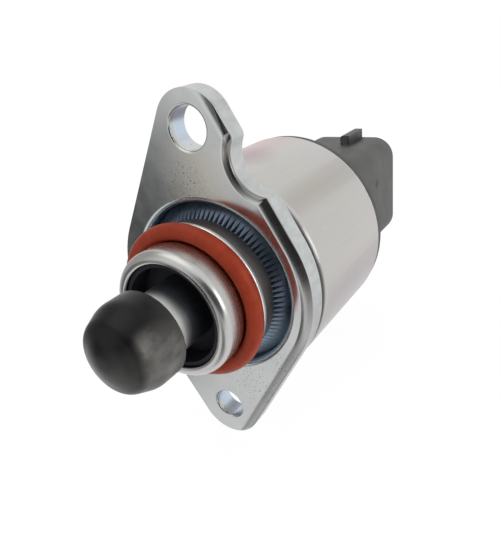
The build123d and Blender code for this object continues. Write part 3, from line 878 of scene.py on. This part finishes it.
copper_finish = metal_finish("enamelled_copper", (0.52, 0.20, 0.08), (0.64, 0.28, 0.12), 0.22, 0.32, 0.04)
wear(metal_finish("ground_bearing_steel", (0.60, 0.60, 0.61), (0.68, 0.68, 0.69), 0.10, 0.18, 0.02),
     "bearing_outer_race", "bearing_inner_race", "bearing_balls")
wear(metal_finish("stamped_pole_steel", (0.44, 0.44, 0.44), (0.54, 0.54, 0.53), 0.30, 0.42, 0.08),
     "front_coil_fore_plate", "front_coil_aft_plate", "rear_coil_fore_plate", "rear_coil_aft_plate")
wear(metal_finish("tempered_spring_steel", (0.42, 0.42, 0.43), (0.52, 0.52, 0.53), 0.22, 0.32, 0.04),
     "spring_washer")
wear(metal_finish("sintered_bronze", (0.46, 0.30, 0.13), (0.58, 0.40, 0.19), 0.40, 0.55, 0.16), "rear_bush")
wear(metal_finish("tinned_pins", (0.62, 0.61, 0.58), (0.72, 0.71, 0.67), 0.18, 0.28, 0.04),
     *[f"terminal_pin_{number}" for number in range(1, 5)])
wear(plastic_finish("grey_ferrite", (0.050, 0.050, 0.054), (0.080, 0.080, 0.086), 0.55, 0.70, 0.20),
     "rotor_magnet")

# %% [markdown]
# ## Geometry Nodes: a tree with named inputs
#
# The coil's wire and the screw's thread both follow a rule, so each is a node tree with its sizes as
# inputs. Some helpers make an empty tree with those inputs and fill it with nodes and sums. The last
# one turns the finished tree into a plain mesh, so that nothing depends on a live modifier.

# %% Helpers for building a tree
def new_tree(name, *sizes):
    """A geometry node tree with one number input for each size."""
    tree = bpy.data.node_groups.new(name, "GeometryNodeTree")
    for size in sizes:
        kind = "NodeSocketInt" if size.endswith("Count") else "NodeSocketFloat"
        tree.interface.new_socket(size, in_out="INPUT", socket_type=kind)
    tree.interface.new_socket("Geometry", in_out="OUTPUT", socket_type="NodeSocketGeometry")
    return tree, tree.nodes.new("NodeGroupInput").outputs


def feed(tree, socket, value):
    """Give a socket a link or a plain value."""
    if isinstance(value, bpy.types.NodeSocket):
        connect(tree, value, socket)
    else:
        socket.default_value = value


def node(tree, kind, mode=None, **inputs):
    """A node with its inputs set from sockets or plain values."""
    made = tree.nodes.new(kind)
    if mode:
        made.mode = mode
    for name, value in inputs.items():
        feed(tree, made.inputs[name.replace("_", " ")], value)
    return made


def calc(tree, operation, a, b):
    made = tree.nodes.new("ShaderNodeMath")
    made.operation = operation
    for socket, value in zip(made.inputs, (a, b)):
        feed(tree, socket, value)
    return made.outputs["Value"]


def half_of(tree, value):
    return calc(tree, "MULTIPLY", value, 0.5)


# %% Helpers for finishing a tree
def finish_tree(tree, geometry, material, smooth):
    """End in real geometry with its material."""
    real = node(tree, "GeometryNodeRealizeInstances", Geometry=geometry)
    shaded = node(tree, "GeometryNodeSetShadeSmooth", Geometry=real.outputs[0], Shade_Smooth=smooth)
    dressed = node(tree, "GeometryNodeSetMaterial", Geometry=shaded.outputs[0])
    dressed.inputs["Material"].default_value = material
    connect(tree, dressed.outputs[0], tree.nodes.new("NodeGroupOutput").inputs[0])


def outward(mesh):
    """Turn every face outwards."""
    work = bmesh.new()
    work.from_mesh(mesh)
    bmesh.ops.recalc_face_normals(work, faces=work.faces)
    work.to_mesh(mesh)
    work.free()


def grown(name, tree, **sizes):
    """Run a tree on an empty mesh and keep the result as a plain mesh."""
    carrier = add_object(name, bpy.data.meshes.new(name))
    modifier = carrier.modifiers.new(name, "NODES")
    modifier.node_group = tree
    for item in tree.interface.items_tree:
        if item.in_out == "INPUT":
            modifier[item.identifier] = sizes[item.name.replace(" ", "_")]
    evaluated = carrier.evaluated_get(bpy.context.evaluated_depsgraph_get())
    mesh = bpy.data.meshes.new_from_object(evaluated)
    empty = carrier.data
    bpy.data.objects.remove(carrier)
    bpy.data.meshes.remove(empty)
    mesh.name = name
    outward(mesh)
    return mesh


# %% [markdown]
# ## Turns of wire on the two coils
#
# Each coil is a block of enamelled copper wire. Modelling a single wire hundreds of turns long would be
# true but heavy. Only the outer layer can ever be seen, so the tree sweeps a square core round the axis
# and lays rings of wire side by side over it, each as one instance on a line of points.

# %% Tree for the wire
WIRE = 0.5
WINDING_DEPTH = 3.5
RING_STEPS = 96
WIRE_SIDES = 8
COUNT_SLACK = 0.01
ABOUT_Y = (math.radians(90), 0.0, 0.0)


def wire_tree(material):
    tree, size = new_tree("wire_turns", "Radius", "Depth", "Front", "Length", "Wire", "Turn Count")
    half_wire = half_of(tree, size["Wire"])
    wire_radius = calc(tree, "SUBTRACT", size["Radius"], half_wire)
    ring = node(tree, "GeometryNodeCurvePrimitiveCircle", Resolution=RING_STEPS, Radius=wire_radius)
    section = node(tree, "GeometryNodeCurvePrimitiveCircle", Resolution=WIRE_SIDES, Radius=half_wire)
    wire = node(tree, "GeometryNodeCurveToMesh", Curve=ring.outputs[0], Profile_Curve=section.outputs[0])
    step = node(tree, "ShaderNodeCombineXYZ", Y=size["Wire"])
    start = node(tree, "ShaderNodeCombineXYZ", Y=calc(tree, "ADD", size["Front"], half_wire))
    line = node(tree, "GeometryNodeMeshLine", Count=size["Turn Count"], Start_Location=start.outputs[0],
                Offset=step.outputs[0])
    turns = node(tree, "GeometryNodeInstanceOnPoints", Points=line.outputs[0], Instance=wire.outputs[0],
                 Rotation=ABOUT_Y)
    core_depth = calc(tree, "SUBTRACT", size["Depth"], half_wire)
    core_radius = calc(tree, "SUBTRACT", wire_radius, half_of(tree, core_depth))
    path = node(tree, "GeometryNodeCurvePrimitiveCircle", Resolution=RING_STEPS, Radius=core_radius)
    block = node(tree, "GeometryNodeCurvePrimitiveQuadrilateral", Width=core_depth, Height=size["Length"])
    core = node(tree, "GeometryNodeCurveToMesh", Curve=path.outputs[0], Profile_Curve=block.outputs[0])
    middle = calc(tree, "ADD", size["Front"], half_of(tree, size["Length"]))
    centre = node(tree, "ShaderNodeCombineXYZ", Y=middle)
    placed = node(tree, "GeometryNodeTransform", Geometry=core.outputs[0], Translation=centre.outputs[0],
                  Rotation=ABOUT_Y)
    whole = tree.nodes.new("GeometryNodeJoinGeometry")
    connect(tree, turns.outputs[0], whole.inputs[0])
    connect(tree, placed.outputs[0], whole.inputs[0])
    finish_tree(tree, whole.outputs[0], material, smooth=True)
    return tree


wires = wire_tree(copper_finish)
print(wires.name, "has nodes:", len(wires.nodes))


# %% Wind both coils
def wind(tree, winding):
    low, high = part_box(winding)
    length = high.y - low.y
    turns = int(length / (WIRE * MM) + COUNT_SLACK)
    mesh = grown(winding.replace("winding", "wire_turns"), tree, Radius=high.x, Depth=WINDING_DEPTH * MM,
                 Front=low.y, Length=length, Wire=WIRE * MM, Turn_Count=turns)
    coil = add_object(mesh.name, mesh)
    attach(coil, "valve_body")
    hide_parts(winding)
    print(coil.name, "turns:", turns, "faces:", len(mesh.polygons))


wind(wires, "front_winding")
wind(wires, "rear_winding")

# %% [markdown]
# ## The lead screw's thread
#
# Behind the polished stem is the screw that the rotor's nut turns on, one millimetre of travel to a
# turn. The solid has a plain rod there, as a nut needs only its outside. Here the rod is drawn in to
# the thread's root, and a node tree winds the ridge on it, so the crests end where the rod did. The
# thread is right-handed, because the rotor's turn draws the pintle that way.

# %% Tree for the thread
LEAD = 1.0
THREAD_DEPTH = 0.45
THREAD_ENDS = 0.7
SCREW_R = 3.0
SCREW_LENGTH = 19.5
TURN_STEPS = 40
CORE_OVERLAP = 0.05
ROOT_SHARE = 0.9
CREST_SHARE = 0.2
CREST_OUT = (0.0, 0.0, math.radians(90))


def thread_tree(material):
    tree, size = new_tree("screw_thread", "Root", "Depth", "Front", "Length", "Lead", "Overlap",
                          "Step Count")
    turns = calc(tree, "DIVIDE", size["Length"], size["Lead"])
    rise = calc(tree, "ADD", size["Depth"], size["Overlap"])
    foot = calc(tree, "SUBTRACT", size["Root"], size["Overlap"])
    middle = calc(tree, "ADD", foot, half_of(tree, rise))
    helix = node(tree, "GeometryNodeCurveSpiral", Resolution=size["Step Count"], Rotations=turns,
                 Start_Radius=middle, End_Radius=middle, Height=size["Length"], Reverse=True)
    upright = node(tree, "GeometryNodeSetCurveNormal", mode="Z_UP", Curve=helix.outputs[0])
    ridge = node(tree, "GeometryNodeCurvePrimitiveQuadrilateral", mode="TRAPEZOID", Height=rise, Offset=0.0,
                 Bottom_Width=calc(tree, "MULTIPLY", size["Lead"], ROOT_SHARE),
                 Top_Width=calc(tree, "MULTIPLY", size["Lead"], CREST_SHARE))
    facing = node(tree, "GeometryNodeTransform", Geometry=ridge.outputs[0], Rotation=CREST_OUT)
    swept = node(tree, "GeometryNodeCurveToMesh", Curve=upright.outputs[0], Profile_Curve=facing.outputs[0],
                 Fill_Caps=True)
    start = node(tree, "ShaderNodeCombineXYZ", Y=calc(tree, "ADD", size["Front"], size["Length"]))
    placed = node(tree, "GeometryNodeTransform", Geometry=swept.outputs[0], Translation=start.outputs[0],
                  Rotation=ABOUT_Y)
    finish_tree(tree, placed.outputs[0], material, smooth=False)
    return tree


threads = thread_tree(stem_finish)
print(threads.name, "has nodes:", len(threads.nodes))

# %% Threaded stem
WELD = 0.0005
DEPTH_SLACK = 0.001
RADIUS_SLACK = 0.1


def stem_with_root(mesh, screw_front, root_share):
    """A copy of the stem whose screw is drawn in to the thread's root."""
    work = bmesh.new()
    work.from_mesh(mesh)
    bmesh.ops.remove_doubles(work, verts=work.verts, dist=WELD * MM)
    for vertex in work.verts:
        radius = math.hypot(vertex.co.x, vertex.co.z)
        if vertex.co.y > screw_front - DEPTH_SLACK * MM and radius < (SCREW_R + RADIUS_SLACK) * MM:
            vertex.co.x *= root_share
            vertex.co.z *= root_share
    return work


def make_lead_screw():
    _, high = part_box("pintle_stem")
    screw_front = high.y - SCREW_LENGTH * MM
    root = SCREW_R - THREAD_DEPTH
    thread = grown("thread", threads, Root=root * MM, Depth=THREAD_DEPTH * MM,
                   Front=screw_front + THREAD_ENDS * MM, Length=(SCREW_LENGTH - 2 * THREAD_ENDS) * MM,
                   Lead=LEAD * MM, Overlap=CORE_OVERLAP * MM, Step_Count=TURN_STEPS)
    work = stem_with_root(nodes["pintle_stem"].data, screw_front, root / SCREW_R)
    work.from_mesh(thread)
    mesh = bpy.data.meshes.new("threaded_stem")
    work.to_mesh(mesh)
    work.free()
    mesh.materials.append(stem_finish)
    stem = add_object("threaded_stem", mesh)
    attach(stem, "pintle")
    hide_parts("pintle_stem")
    widest = max(math.hypot(v.co.x, v.co.z) for v in thread.vertices) / MM
    print("threaded stem: faces", len(mesh.polygons), "thread crest radius, mm:", round(widest, 3))


make_lead_screw()
